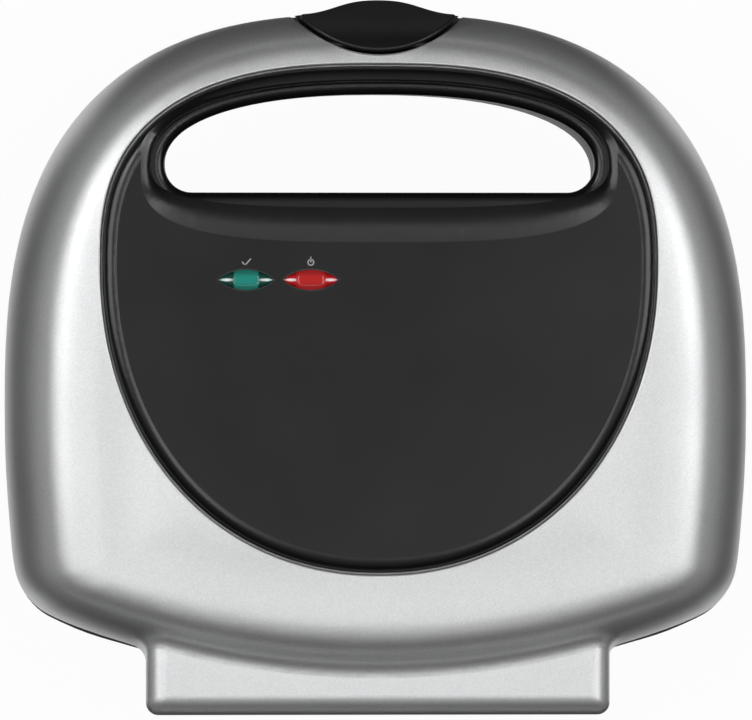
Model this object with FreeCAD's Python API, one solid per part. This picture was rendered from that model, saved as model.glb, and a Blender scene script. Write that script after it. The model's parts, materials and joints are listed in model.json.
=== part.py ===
import FreeCAD, Part
import math
import os

from FreeCAD import Vector

# Sandwich maker, closed. Millimetres, +Z up, +X to the right of someone at the back looking at the
# latch, the latch at the front (-Y), the hinge at the back (+Y), the feet standing on Z = 0.

# Body in plan: a superellipse in front, side arcs, rounded corners and a shallow arc behind
body_half_width = 118.5
body_widest_y = 16.5
body_front_y = -110.0
body_rear_y = 103.0
front_power = 2.7
side_arc_radius = 400.0
rear_arc_radius = 267.0
body_corner_radius = 21.0
corner_radius_least = 6.0
corner_tightening = 0.5
rear_points = 5
corner_points = 5
side_points = 4
nose_points = 20
oval_points_half = 24

# Heights of the two halves
foot_height = 4.0
base_height = 37.5
parting_gap = 1.0
lid_dome_height = 43.0
wall = 2.6

# Rolled edges: how far each side leans in between the parting line and the flat
lid_front_roll = 16.0
lid_side_roll = 26.0
lid_rear_roll = 17.0
crown_slope = 0.05
rim_radius = 0.7
base_side_roll = 20.0
base_rear_roll = 9.0
base_side_lip = -0.4
base_rear_lip = 0.7
bow_length = 60.0
bow_power = 1.7

# Hinge tail of the lid
tail_half_width = 73.2
tail_length = 9.8
tail_height = 32.5
tail_skirt = 4.5
tail_roll = 6.5
tail_corner_radius = 4.0
tail_blend = 6.5
tail_wall = 2.5

# Hinge
hinge_setback = 0.6
hinge_pin_radius = 2.5
hinge_pin_fit = 0.02
hinge_running_fit = 0.05
knuckle_radius = 6.0
knuckle_inner_x = 54.0
knuckle_width = 10.0
knuckle_arm_height = 8.0
ear_thickness = 4.0
ear_gap = 0.4
trough_clearance = 0.7
trough_end_gap = 0.8

# Black panel in the top of the lid
panel_side_margin = 31.9
panel_front_margin = 19.0
panel_rear_margin = 35.3
panel_widest_y = -28.5
panel_front_power = 2.65
panel_rear_power = 2.12
panel_gap = 0.6
panel_recess = 3.5
panel_skirt = 3.2
panel_roll = 4.5
panel_roll_height = 3.2
panel_roll_steps = 4
panel_thickness = 2.6
deck_thickness = 2.5

# Handle opening through both halves, with its collar on the panel
grip_side_margin = 19.8
grip_bar_width = 9.4
grip_front_length = 22.0
grip_power = 2.3
grip_steps = 16
grip_corner_radius = 7.1
grip_edge_radius = 3.0
grip_flare = 4.0
grip_rear_setback = 1.3
sleeve_wall = 2.0
sleeve_gap = 0.3
collar_rise = 2.0
collar_foot_front = 5.6
collar_foot_side = 9.0
collar_foot_rear = 20.5
collar_crest_front = 3.6
collar_crest_side = 4.4
collar_crest_rear = 6.0
collar_rear_power = 3.2
collar_profile = ((0.0, -0.2), (0.35, 0.06), (0.7, 0.36), (0.9, 0.75), (1.0, 1.0))

# Indicator lenses and the lamps under them
lens_length = 17.6
lens_width = 6.2
lens_setback = 28.6
power_lens_x = 21.5
lens_pitch = 20.2
lens_rise = 1.0
lens_crown_radius = 5.0
lens_flange = 1.2
lens_flange_thickness = 1.0
lens_fit = 0.05
lamp_radius = 2.8
lamp_length = 14.0
lamp_sink = 1.4
lamp_fit = 0.1
carrier_length = 46.0
carrier_width = 20.0
carrier_depth = 7.0
window_length = 40.0
window_width = 11.0

# Latch clip
latch_radius = 32.7
latch_depth = 14.3
latch_gap = 1.0
latch_skin = 3.4
latch_proud = 0.4
latch_edge_radius = 0.8
latch_corner_radius = 0.9
latch_blade_half_width = 17.0
latch_end_depth = 3.4
latch_beak_reach = 2.8
latch_beak_length = 4.8
latch_beak_height = 27.5
latch_beak_thickness = 5.0
latch_beak_ogee = ((0.0, 1.0), (0.15, 0.97), (0.3, 0.87), (0.47, 0.64), (0.63, 0.36), (0.8, 0.12), (1.0, 0.0))
latch_slope = ((-0.1, -0.01), (0.1, 0.06), (0.3, 0.2), (0.5, 0.4), (0.75, 0.7), (1.1, 1.12))
latch_pin_radius = 1.25
latch_pin_setback = 2.3
latch_pin_depth = 2.6
latch_pin_fit = 0.03
latch_barrel_radius = 2.5
latch_pocket_wall = 2.2
hook_depth = 8.6
hook_height = 3.8
hook_top_gap = 0.7
catch_depth = 5.0
catch_side_gap = 1.0
catch_back_gap = 0.8

# Cooking plates, one above the other, the upper one a mirror image
plate_side_margin = 15.5
plate_front_margin = 8.5
plate_rear_margin = 27.0
plate_corner_radius = 14.0
plate_rim_gap = 0.4
plate_rim_thickness = 3.0
plate_skin = 2.6
pocket_depth = 12.0
pocket_draft = 7.0
pocket_border = 10.0
pocket_ridge = 7.0
pocket_corner_radius = 10.0
pocket_floor_radius = 4.0
pocket_edge_radius = 1.5
plate_boss_radius = 5.0
plate_boss_length = 7.2
plate_boss_side_inset = 45.0
plate_boss_front_inset = 36.0
plate_boss_rear_inset = 44.0
plate_pad_half_length = 15.0
plate_pad_half_width = 10.0

# Heating elements, reflectors and controls
element_radius = 3.25
element_gap = 0.05
element_inset = 17.0
element_bend = 16.0
element_gate = 14.0
terminal_radius = 1.6
terminal_length = 10.0
reflector_thickness = 0.6
reflector_inset = 12.0
reflector_lip = 5.0
reflector_gap = 0.2
reflector_corner_radius = 8.0
post_radius = 6.0
post_neck_radius = 4.0
post_neck_length = 3.6
thermostat_radius = 8.0
thermostat_height = 6.0
thermostat_ear_length = 30.0
thermostat_ear_width = 9.0
thermostat_ear_thickness = 1.0
fuse_radius = 2.0
fuse_length = 11.0
fuse_lead_radius = 0.5
fuse_lead_length = 9.0
fuse_clip_thickness = 0.8
fuse_clip_width = 6.0
fuse_clip_foot = 6.0
fuse_clip_gap = 0.1
fuse_clip_screw_length = 5.0
thermostat_screw_spacing = 24.0
thermostat_screw_cover = 0.6
small_screw_radius = 1.2
small_screw_head_radius = 2.3
small_screw_head_height = 1.5

# Frames that close the two halves round the plates
frame_thickness = 2.5
frame_recess = 0.1
frame_fit = 0.15
frame_plate_gap = 0.6
frame_post_radius = 3.5
frame_post_rear_margin = 28.5
frame_post_rear_offset = 5.5
frame_post_front_margin = 34.5
frame_post_front_offset = 9.5

# Screws
screw_radius = 1.5
screw_head_radius = 3.4
screw_head_height = 2.2
screw_hole_gap = 0.25
screw_thread_gap = 0.02
screw_bite = 6.0
screw_recess_depth = 5.0

# Feet, cord gland, terminal block and vents
foot_radius = 8.0
foot_edge_radius = 1.0
foot_stem_radius = 3.0
foot_stem_fit = 0.05
foot_stem_length = 3.5
foot_front_side_margin = 56.5
foot_front_margin = 86.0
foot_rear_side_margin = 46.5
foot_rear_margin = 39.0
gland_x = 48.0
gland_height = 13.0
gland_seat_depth = 7.5
gland_bore_radius = 3.6
gland_neck_radius = 5.5
gland_flange_radius = 7.5
gland_flange_thickness = 3.0
gland_boss_radius = 9.0
gland_neck_length = 9.0
gland_fit = 0.05
block_length = 26.0
block_width = 14.0
block_height = 12.0
block_offset = 34.0
block_rear_margin = 29.0
block_screw_radius = 2.0
block_screw_depth = 6.0
block_ways = 3
vent_length = 44.0
vent_width = 3.0
vent_end_flat = 0.03
vent_pitch = 12.0
vent_rows = 5

# Places in plan worked out from the sizes above
tail_rear_y = body_rear_y + tail_length
hinge_y = body_rear_y - hinge_setback
panel_half_width = body_half_width - panel_side_margin
panel_front_y = body_front_y + panel_front_margin
panel_front_length = panel_widest_y - panel_front_y
panel_rear_length = body_rear_y - panel_rear_margin - panel_widest_y
grip_half_width = panel_half_width - grip_side_margin
grip_centre_y = panel_front_y + grip_bar_width + grip_front_length
grip_rear_y = grip_centre_y + grip_corner_radius
lens_y = grip_rear_y + lens_setback
ready_lens_x = power_lens_x + lens_pitch
latch_rear_y = body_front_y + latch_depth
latch_centre_y = latch_rear_y - latch_radius
latch_pin_y = latch_rear_y - latch_pin_setback
plate_half_width = body_half_width - plate_side_margin
plate_front_y = grip_rear_y + plate_front_margin
plate_rear_y = body_rear_y - plate_rear_margin
plate_middle_y = (plate_front_y + plate_rear_y) / 2
gland_seat_y = body_rear_y - gland_seat_depth
block_x = gland_x - block_offset
block_y = body_rear_y - block_rear_margin

# Heights worked out from the sizes above
base_bottom_z = foot_height
base_top_z = foot_height + base_height
lid_bottom_z = base_top_z + parting_gap
hinge_z = base_top_z + parting_gap / 2
shoulder_z = lid_bottom_z + lid_dome_height
tail_top_z = lid_bottom_z + tail_height
tail_lower_z = lid_bottom_z - tail_skirt
deck_z = shoulder_z - panel_recess
deck_under_z = deck_z - deck_thickness
panel_edge_z = deck_z + panel_skirt
panel_top_z = panel_edge_z + panel_roll_height
panel_under_z = panel_top_z - panel_thickness
collar_top_z = panel_top_z + collar_rise
base_frame_top_z = base_top_z - frame_recess
base_frame_z = base_frame_top_z - frame_thickness
lid_frame_top_z = lid_bottom_z + frame_recess + frame_thickness
plate_top_z = hinge_z - plate_rim_gap / 2
plate_rim_z = plate_top_z - plate_rim_thickness
pocket_floor_z = plate_top_z - pocket_depth
plate_back_z = pocket_floor_z - plate_skin
boss_seat_z = plate_back_z - plate_boss_length
thermostat_screw_length = plate_skin - thermostat_screw_cover
element_z = plate_back_z - element_radius - element_gap
reflector_z = boss_seat_z - post_neck_length
floor_z = base_bottom_z + wall
gland_z = base_bottom_z + gland_height
catch_z = base_top_z - catch_depth
latch_beak_z = lid_bottom_z + latch_beak_height
latch_beak_under_z = latch_beak_z - latch_beak_thickness
trough_reach = math.hypot(tail_rear_y - hinge_y, hinge_z - tail_lower_z)
trough_radius = trough_reach + trough_clearance
trough_half_length = tail_half_width + trough_end_gap
boss_places = [
    (side * (plate_half_width - plate_boss_side_inset), y)
    for side in (-1, 1)
    for y in (plate_front_y + plate_boss_front_inset, plate_rear_y - plate_boss_rear_inset)
]
frame_post_rear = (body_half_width - frame_post_rear_margin, plate_rear_y + frame_post_rear_offset)
frame_post_front = (body_half_width - frame_post_front_margin, grip_rear_y - frame_post_front_offset)
frame_post_places = [(side * x, y) for side in (-1, 1) for x, y in (frame_post_rear, frame_post_front)]
foot_front = (body_half_width - foot_front_side_margin, body_front_y + foot_front_margin)
foot_rear = (body_half_width - foot_rear_side_margin, body_rear_y - foot_rear_margin)
foot_places = {
    "foot_front_left": (foot_front[0], foot_front[1]),
    "foot_front_right": (-foot_front[0], foot_front[1]),
    "foot_rear_left": (foot_rear[0], foot_rear[1]),
    "foot_rear_right": (-foot_rear[0], foot_rear[1]),
}
roll_shares = (0.0, 0.03, 0.1, 0.22, 0.4, 0.65, 1.0)
crown_insets = (8.0, 20.0, 38.0)
drop_shares = (0.0, 0.25, 0.5, 0.7, 0.85, 0.95, 1.0)
loft_degree = 2
reach = 300.0
tolerance = 1e-4


def superellipse(half_x, half_y, power, angle):
    """Point of a superellipse quarter, spread evenly whatever its proportions."""
    c = math.cos(angle)
    s = math.sin(angle)
    size = (abs(c) ** power + abs(s) ** power) ** (-1 / power)
    return half_x * size * c, half_y * size * s


def arc(centre, radius, start, end, count):
    """Points along an arc from one angle towards another, leaving out the last one."""
    steps = [start + (end - start) * k / count for k in range(count)]
    return [(centre[0] + radius * math.cos(a), centre[1] + radius * math.sin(a)) for a in steps]


def body_points(front, side, rear):
    """Closed outline of the body, each side moved in by its own distance."""
    side_radius = side_arc_radius - side
    rear_radius = rear_arc_radius - rear
    side_centre = (body_half_width - side_arc_radius, body_widest_y)
    rear_centre = (0.0, body_rear_y - rear_arc_radius)
    corner = max(body_corner_radius - corner_tightening * max(side, rear), corner_radius_least)
    from_side = side_radius - corner
    from_rear = rear_radius - corner
    dx = rear_centre[0] - side_centre[0]
    dy = rear_centre[1] - side_centre[1]
    apart = math.hypot(dx, dy)
    along = (from_side ** 2 - from_rear ** 2 + apart ** 2) / (2 * apart)
    across = math.sqrt(from_side ** 2 - along ** 2)
    corner_x = side_centre[0] + (dx * along - dy * across) / apart
    corner_y = side_centre[1] + (dy * along + dx * across) / apart
    rear_angle = math.atan2(corner_y - rear_centre[1], corner_x - rear_centre[0])
    side_angle = math.atan2(corner_y - side_centre[1], corner_x - side_centre[0])
    right = arc(rear_centre, rear_radius, math.pi / 2, rear_angle, rear_points)
    right += arc((corner_x, corner_y), corner, rear_angle, side_angle, corner_points)
    right += arc(side_centre, side_radius, side_angle, 0.0, side_points)
    half_width = body_half_width - side
    length = body_widest_y - body_front_y - front
    angles = [math.pi * k / nose_points for k in range(nose_points + 1)]
    nose = [superellipse(half_width, length, front_power, angle) for angle in angles]
    nose = [(x, body_widest_y - y) for x, y in nose]
    left = [(-x, y) for x, y in reversed(right[1:])]
    return right + nose + left


def oval_points(half_width, centre_y, front, rear):
    """Closed oval whose front and rear halves are superellipses, each given by its length and power."""
    angles = [math.pi * k / oval_points_half for k in range(2 * oval_points_half)]
    points = []
    for angle in angles:
        length, power = front if angle > math.pi else rear
        x, y = superellipse(half_width, length, power, angle)
        points.append((x, centre_y + y))
    return points


def panel_points(inset):
    """Outline of the black panel, moved in by a distance."""
    front = (panel_front_length - inset, panel_front_power)
    rear = (panel_rear_length - inset, panel_rear_power)
    return oval_points(panel_half_width - inset, panel_widest_y, front, rear)


def chord_parameters(points):
    """Distance travelled along a closed run of points."""
    parameters = [0.0]
    for k, point in enumerate(points):
        following = points[(k + 1) % len(points)]
        parameters.append(parameters[-1] + math.dist(point, following))
    return parameters


def spline_wire(points, z, parameters):
    """Smooth closed curve through points at one height."""
    curve = Part.BSplineCurve()
    vectors = [Vector(x, y, z) for x, y in points]
    curve.interpolate(Points=vectors, PeriodicFlag=True, Parameters=parameters)
    return Part.Wire([curve.toShape()])


def loft(sections):
    """Solid through outlines at rising heights."""
    parameters = chord_parameters(sections[0][0])
    wires = [spline_wire(points, z, parameters) for points, z in sections]
    return Part.makeLoft(wires, True, False, False, loft_degree)


def spline_prism(points, low, high):
    """Upright solid on a smooth closed outline."""
    face = Part.Face(spline_wire(points, low, chord_parameters(points)))
    return face.extrude(Vector(0, 0, high - low))


def box(x0, x1, y0, y1, z0, z1):
    return Part.makeBox(x1 - x0, y1 - y0, z1 - z0, Vector(x0, y0, z0))


def upright(x, y, radius, low, high):
    """Cylinder standing on a point."""
    return Part.makeCylinder(radius, high - low, Vector(x, y, low), Vector(0, 0, 1))


def crosswise(y, z, radius, x0, x1):
    """Cylinder lying along X."""
    return Part.makeCylinder(radius, x1 - x0, Vector(x0, y, z), Vector(1, 0, 0))


def rounded_polygon(corners, radius, z):
    """Wire through corners, each rounded by a tangent arc."""
    edges = []
    count = len(corners)
    starts = []
    ends = []
    middles = []
    for k in range(count):
        here = Vector(corners[k][0], corners[k][1], z)
        before = Vector(corners[k - 1][0], corners[k - 1][1], z)
        after = Vector(corners[(k + 1) % count][0], corners[(k + 1) % count][1], z)
        back = (before - here).normalize()
        on = (after - here).normalize()
        half = back.getAngle(on) / 2
        bisector = (back + on).normalize()
        starts.append(here + back * (radius / math.tan(half)))
        ends.append(here + on * (radius / math.tan(half)))
        middles.append(here + bisector * (radius / math.sin(half) - radius))
    for k in range(count):
        edges.append(Part.Arc(starts[k], middles[k], ends[k]).toShape())
        edges.append(Part.LineSegment(ends[k], starts[(k + 1) % count]).toShape())
    return Part.Wire(edges)


def rounded_slab(x0, x1, y0, y1, radius, low, high):
    """Upright slab with rounded corners."""
    wire = rounded_polygon([(x0, y0), (x1, y0), (x1, y1), (x0, y1)], radius, low)
    return Part.Face(wire).extrude(Vector(0, 0, high - low))


def grip_wire(outset, rear_outset, z):
    """Outline of the handle opening, made larger by a distance: curved in front, straight behind."""
    half_width = grip_half_width + outset
    front = grip_front_length + outset
    radius = grip_corner_radius + rear_outset
    inner_x = half_width - radius
    rear_y = grip_centre_y + radius
    curve = Part.BSplineCurve()
    turns = [math.pi * k / grip_steps for k in range(grip_steps + 1)]
    points = [superellipse(half_width, front, grip_power, turn) for turn in turns]
    curve.interpolate(Points=[Vector(x, grip_centre_y - y, z) for x, y in points])
    slant = radius * math.sqrt(0.5)
    right = Vector(half_width, grip_centre_y, z)
    left = Vector(-half_width, grip_centre_y, z)
    right_mid = Vector(inner_x + slant, grip_centre_y + slant, z)
    left_mid = Vector(-inner_x - slant, grip_centre_y + slant, z)
    right_rear = Vector(inner_x, rear_y, z)
    left_rear = Vector(-inner_x, rear_y, z)
    edges = [
        curve.toShape(),
        Part.Arc(left, left_mid, left_rear).toShape(),
        Part.LineSegment(left_rear, right_rear).toShape(),
        Part.Arc(right_rear, right_mid, right).toShape(),
    ]
    return Part.Wire(edges)


def grip_prism(skin, low, high):
    """The handle opening of the lower parts, made larger by a skin."""
    face = Part.Face(grip_wire(grip_flare + skin, skin, low))
    return face.extrude(Vector(0, 0, high - low))


def grip_funnel(skin, high):
    """The handle opening of the lid, which widens downwards, made larger by a skin."""
    low = lid_frame_top_z
    share = (high - low) / (collar_top_z - low)
    upper = grip_wire(grip_flare * (1 - share) + skin, grip_rear_setback * share + skin, high)
    lower = grip_wire(grip_flare + skin, skin, low)
    return Part.makeLoft([lower, upper], True, True)


def lid_skin(offset):
    """Dome of the lid, taken inward by an offset. An inner skin also runs on below the parting line."""
    sections = []
    for share in roll_shares:
        rise = math.sqrt(1 - (1 - share) ** 2)
        insets = [offset + (roll - offset) * share for roll in (lid_front_roll, lid_side_roll, lid_rear_roll)]
        sections.append((body_points(*insets), lid_bottom_z + (lid_dome_height - offset) * rise))
    for extra in crown_insets:
        insets = [roll + extra for roll in (lid_front_roll, lid_side_roll, lid_rear_roll)]
        sections.append((body_points(*insets), shoulder_z - offset + crown_slope * extra))
    if offset > 0:
        sections.insert(0, (sections[0][0], tail_lower_z - wall))
    return loft(sections)


def base_skin(offset):
    """Tub of the base, taken inward by an offset. An inner skin also runs on above the parting line."""
    sections = []
    for share in drop_shares:
        lean = 1 - math.sqrt(1 - share ** 2)
        front = offset + (bow_length - offset) * share ** bow_power
        side = offset - base_side_lip + (base_side_roll - offset) * lean
        rear = offset - base_rear_lip + (base_rear_roll - offset) * lean
        sections.insert(0, (body_points(front, side, rear), base_top_z - (base_height - offset) * share))
    if offset > 0:
        sections.append((sections[-1][0], lid_bottom_z + wall))
    return loft(sections)


def mirrored(shape):
    """The same shape on the other side of the parting plane."""
    return shape.mirror(Vector(0, 0, hinge_z), Vector(0, 0, 1))


def mirror_z(z):
    """Height on the other side of the parting plane."""
    return 2 * hinge_z - z


def fillet_where(shape, radius, test):
    """Round the edges that pass a test."""
    edges = [edge for edge in shape.Edges if test(edge)]
    return shape.makeFillet(radius, edges)


def tail_block(inset):
    """Hinge tail of the lid: a long block with rolled edges and a skirt below the parting line."""
    half = tail_half_width - inset
    rear = tail_rear_y - inset
    top = tail_top_z - inset
    front = body_rear_y - lid_rear_roll - wall
    roll = tail_roll - inset
    block = box(-half, half, front, rear, tail_lower_z, top)

    def outer_top(edge):
        low, high = edge.BoundBox.ZMin, edge.BoundBox.ZMax
        return low > top - tolerance and high < top + tolerance and edge.CenterOfMass.y > front + tolerance

    def rear_corner(edge):
        middle = edge.CenterOfMass
        outside = middle.y > rear - roll and abs(middle.x) > half - roll
        return outside and edge.BoundBox.ZLength > roll / 2 and edge.BoundBox.YLength < roll + tolerance

    block = fillet_where(block, roll, outer_top)
    block = fillet_where(block, tail_corner_radius - inset, rear_corner)
    under = box(-reach, reach, -reach, hinge_y - tail_skirt, -reach, lid_bottom_z)
    return block.cut(under)


def span(side, near, far):
    """Range along X on one side, given by distances from the middle."""
    return (near, far) if side > 0 else (-far, -near)


def ear(side, near):
    """One ear of the lid that holds a hinge pin."""
    x0, x1 = span(side, near, near + ear_thickness)
    barrel = crosswise(hinge_y, hinge_z, knuckle_radius, x0, x1)
    top = tail_top_z - tail_wall / 2
    stem = box(x0, x1, hinge_y - knuckle_radius, hinge_y + knuckle_radius, hinge_z, top)
    return barrel.fuse(stem)


def ear_starts():
    """Distances from the middle where the inner and outer ears begin."""
    outer = knuckle_inner_x + knuckle_width + ear_gap
    inner = knuckle_inner_x - ear_gap - ear_thickness
    return inner, outer


def blend_tail(shell):
    """Round the inside corner where the tail meets the dome."""

    def inside_corner(edge):
        faces = shell.ancestorsOfType(edge, Part.Face)
        domed = [face for face in faces if face.Surface.TypeId == "Part::GeomBSplineSurface"]
        height = edge.CenterOfMass.z
        return len(faces) == 2 and len(domed) == 1 and lid_bottom_z + wall < height < tail_top_z + wall

    return fillet_where(shell, tail_blend, inside_corner)


def round_rims(shell):
    """Round the rims of the panel recess and of the latch recess."""

    def rim(edge):
        bounds = edge.BoundBox
        kinds = sorted(face.Surface.TypeId for face in shell.ancestorsOfType(edge, Part.Face))
        round_panel = bounds.ZMin > deck_z + tolerance and bounds.ZMax > shoulder_z
        curved_wall = kinds == ["Part::GeomBSplineSurface", "Part::GeomCylinder"]
        round_latch = curved_wall and bounds.YMax < panel_front_y
        return round_panel or round_latch

    return fillet_where(shell, rim_radius, rim)


def latch_recess(outset, low):
    """Round recess in the front of the lid, open forwards, made larger by a distance."""
    return upright(0, latch_centre_y, latch_radius + latch_gap + outset, low, reach)


def latch_pin_z():
    """Height of the latch pin, a set depth under the rolled front of the lid."""
    share = (latch_pin_y - body_front_y) / lid_front_roll
    rise = math.sqrt(1 - (1 - share) ** 2)
    return lid_bottom_z + lid_dome_height * rise - latch_pin_depth


def latch_pin_half_length():
    """The pin ends half way into the walls on both sides of the latch recess."""
    inner = latch_radius + latch_gap
    outer = inner + latch_pocket_wall
    ahead = latch_pin_y - latch_centre_y
    return (math.sqrt(outer ** 2 - ahead ** 2) + math.sqrt(inner ** 2 - ahead ** 2)) / 2


def trough(outset):
    """Round channel along the back of the base, in which the tail turns."""
    half = trough_half_length + outset
    return crosswise(hinge_y, hinge_z, trough_radius + outset, -half, half)


def hinge_bore(fit):
    """Both hinge pin holes, through knuckles and ears."""
    inner, outer = ear_starts()
    bores = []
    for side in (-1, 1):
        x0, x1 = span(side, inner - ear_gap, outer + ear_thickness + ear_gap)
        bores.append(crosswise(hinge_y, hinge_z, hinge_pin_radius + fit, x0, x1))
    return bores


def lamp_window():
    """Opening in the deck under the two lenses."""
    x = (ready_lens_x + power_lens_x) / 2
    half = window_length / 2
    deep = window_width / 2
    return box(x - half, x + half, lens_y - deep, lens_y + deep, deck_under_z - wall, deck_z + wall)


def lid_hollow():
    """Space inside the lid, less the deck, posts, ears and the wall behind the latch."""
    keep = [spline_prism(panel_points(-panel_gap - wall), deck_under_z, reach)]
    keep.append(latch_recess(latch_pocket_wall, 0))
    for x, y in boss_places:
        keep.append(upright(x, y, post_radius, mirror_z(reflector_z), reach))
        keep.append(upright(x, y, post_neck_radius, mirror_z(boss_seat_z), reach))
    for x, y in frame_post_places:
        keep.append(upright(x, y, frame_post_radius, lid_frame_top_z, reach))
    for side in (-1, 1):
        for near in ear_starts():
            keep.append(ear(side, near))
    return lid_skin(wall).fuse(tail_block(tail_wall)).cut(keep)


def lid_housing():
    """Silver shell of the lid with its tail, panel recess, latch recess, posts and hinge ears."""
    shell = blend_tail(lid_skin(0.0).fuse(tail_block(0.0)))
    shell = shell.cut([spline_prism(panel_points(-panel_gap), deck_z, reach), latch_recess(0.0, 0)])
    shell = round_rims(shell)
    cuts = [lid_hollow(), grip_funnel(sleeve_wall + sleeve_gap, panel_top_z)]
    half = latch_pin_half_length() + latch_pin_fit
    cuts.append(crosswise(latch_pin_y, latch_pin_z(), latch_pin_radius + latch_pin_fit, -half, half))
    cuts.append(lamp_window())
    for x, y in boss_places:
        cuts.append(upright(x, y, screw_radius + screw_hole_gap, 0, reach))
    return shell.cut(cuts + hinge_bore(hinge_running_fit))


def collar(share):
    """Outline of the raised collar round the handle opening, from its foot (0) to its crest (1)."""
    front = collar_foot_front + (collar_crest_front - collar_foot_front) * share
    side = collar_foot_side + (collar_crest_side - collar_foot_side) * share
    rear = collar_foot_rear + (collar_crest_rear - collar_foot_rear) * share
    ahead = (grip_front_length + front, grip_power)
    behind = (grip_corner_radius + rear, collar_rear_power)
    return oval_points(grip_half_width + side, grip_centre_y, ahead, behind)


def lens_points():
    """Both lens centres, by node."""
    return {"ready_lens": ready_lens_x, "power_lens": power_lens_x}


def marquise(x, outset, low, high):
    """Pointed oval between two arcs, as the indicator lenses have."""
    half = lens_length / 2 + outset
    side = lens_width / 2 + outset
    left = Vector(x - half, lens_y, low)
    right = Vector(x + half, lens_y, low)
    front = Part.Arc(left, Vector(x, lens_y - side, low), right).toShape()
    back = Part.Arc(right, Vector(x, lens_y + side, low), left).toShape()
    return Part.Face(Part.Wire([front, back])).extrude(Vector(0, 0, high - low))


def lid_panel():
    """Black panel: a pillow with rolled edges, a collar and a sleeve through the lid."""
    sections = [(panel_points(0.0), deck_z)]
    for step in range(panel_roll_steps + 1):
        angle = math.pi / 2 * step / panel_roll_steps
        inset = panel_roll * (1 - math.cos(angle))
        sections.append((panel_points(inset), panel_edge_z + panel_roll_height * math.sin(angle)))
    pillow = loft(sections)
    ring = loft([(collar(share), panel_top_z + collar_rise * rise) for share, rise in collar_profile])
    sleeve = grip_funnel(sleeve_wall, panel_top_z)
    under = spline_prism(panel_points(panel_roll), deck_z - wall, panel_under_z).cut(sleeve)
    panel = pillow.fuse(ring).cut(under).fuse(sleeve).cut(grip_funnel(0.0, collar_top_z))

    def opening_edge(edge):
        bounds = edge.BoundBox
        ahead = grip_centre_y - grip_front_length - tolerance
        inside = ahead < bounds.YMin and bounds.YMax < grip_rear_y + grip_rear_setback + tolerance
        return inside and bounds.ZMin > collar_top_z - tolerance

    panel = fillet_where(panel, grip_edge_radius, opening_edge)
    return panel.cut([marquise(x, lens_fit, deck_z, reach) for x in lens_points().values()])


def lens(x):
    """Clear indicator lens: crowned top, flange under the panel."""
    top = panel_top_z + lens_rise
    body = marquise(x, 0.0, panel_under_z, top)
    crown = crosswise(lens_y, top - lens_crown_radius, lens_crown_radius, x - lens_length, x + lens_length)
    flange = marquise(x, lens_flange, panel_under_z - lens_flange_thickness, panel_under_z)
    block = box(x - lens_length, x + lens_length, lens_y - lens_length, lens_y + lens_length, 0, panel_top_z)
    return body.common(crown.fuse(block)).fuse(flange)


def lamp(x):
    """Small neon lamp lying under a lens."""
    tube = crosswise(lens_y, deck_under_z - lamp_sink, lamp_radius, x - lamp_length / 2, x + lamp_length / 2)
    return tube.makeFillet(lamp_radius / 2, [edge for edge in tube.Edges if edge.Closed])


def lamp_carrier():
    """Cradle under the deck that holds both lamps."""
    x = (ready_lens_x + power_lens_x) / 2
    half = carrier_length / 2
    deep = carrier_width / 2
    block = box(x - half, x + half, lens_y - deep, lens_y + deep, deck_under_z - carrier_depth, deck_under_z)
    grooves = []
    for lamp_x in lens_points().values():
        reach_x = lamp_length / 2 + lamp_fit
        z = deck_under_z - lamp_sink
        grooves.append(crosswise(lens_y, z, lamp_radius + lamp_fit, lamp_x - reach_x, lamp_x + reach_x))
    return block.cut(grooves)


def lid_frame():
    """Black plate that closes the lid round the upper cooking plate."""
    slab = box(-reach, reach, -reach, reach, lid_bottom_z + frame_recess, lid_frame_top_z)
    frame = lid_skin(wall + frame_fit).common(slab)
    cuts = [plate_opening(0, reach), grip_prism(0.0, 0, reach)]
    cuts.append(trough(wall + frame_fit))
    cuts.append(latch_recess(latch_pocket_wall + frame_fit, 0))
    return frame.cut(cuts)


def base_frame():
    """Black plate that closes the base round the lower cooking plate."""
    slab = box(-reach, reach, -reach, reach, base_frame_z, base_frame_top_z)
    frame = base_skin(wall + frame_fit).common(slab)
    cuts = [plate_opening(0, reach), grip_prism(0.0, 0, reach)]
    cuts.append(trough(wall + frame_fit))
    cuts.append(catch_block(frame_fit))
    return frame.cut(cuts)


def plate_opening(low, high):
    """Opening of a frame, a small gap larger than the plate's rim."""
    gap = frame_plate_gap
    return rounded_slab(
        -plate_half_width - gap,
        plate_half_width + gap,
        plate_front_y - gap,
        plate_rear_y + gap,
        plate_corner_radius + gap,
        low,
        high,
    )


def inset_triangle(corners, distance):
    """Triangle with every side moved in by a distance."""
    lengths = [math.dist(corners[(k + 1) % 3], corners[(k + 2) % 3]) for k in range(3)]
    around = sum(lengths)
    centre = [
        sum(length * corner[axis] for length, corner in zip(lengths, corners)) / around
        for axis in (0, 1)
    ]
    (ax, ay), (bx, by), (cx, cy) = corners
    area = abs((bx - ax) * (cy - ay) - (cx - ax) * (by - ay)) / 2
    shrink = 1 - distance * around / (2 * area)
    return [(centre[0] + (x - centre[0]) * shrink, centre[1] + (y - centre[1]) * shrink) for x, y in corners]


def pocket_triangles():
    """Four half squares, two for each slice, meeting along the ridges."""
    outer = plate_half_width - pocket_border + pocket_ridge / 2
    front = plate_front_y + pocket_border - pocket_ridge / 2
    rear = plate_rear_y - pocket_border + pocket_ridge / 2
    triangles = []
    for side in (-1, 1):
        triangles.append([(0.0, front), (side * outer, front), (side * outer, rear)])
        triangles.append([(0.0, front), (side * outer, rear), (0.0, rear)])
    return triangles


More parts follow.
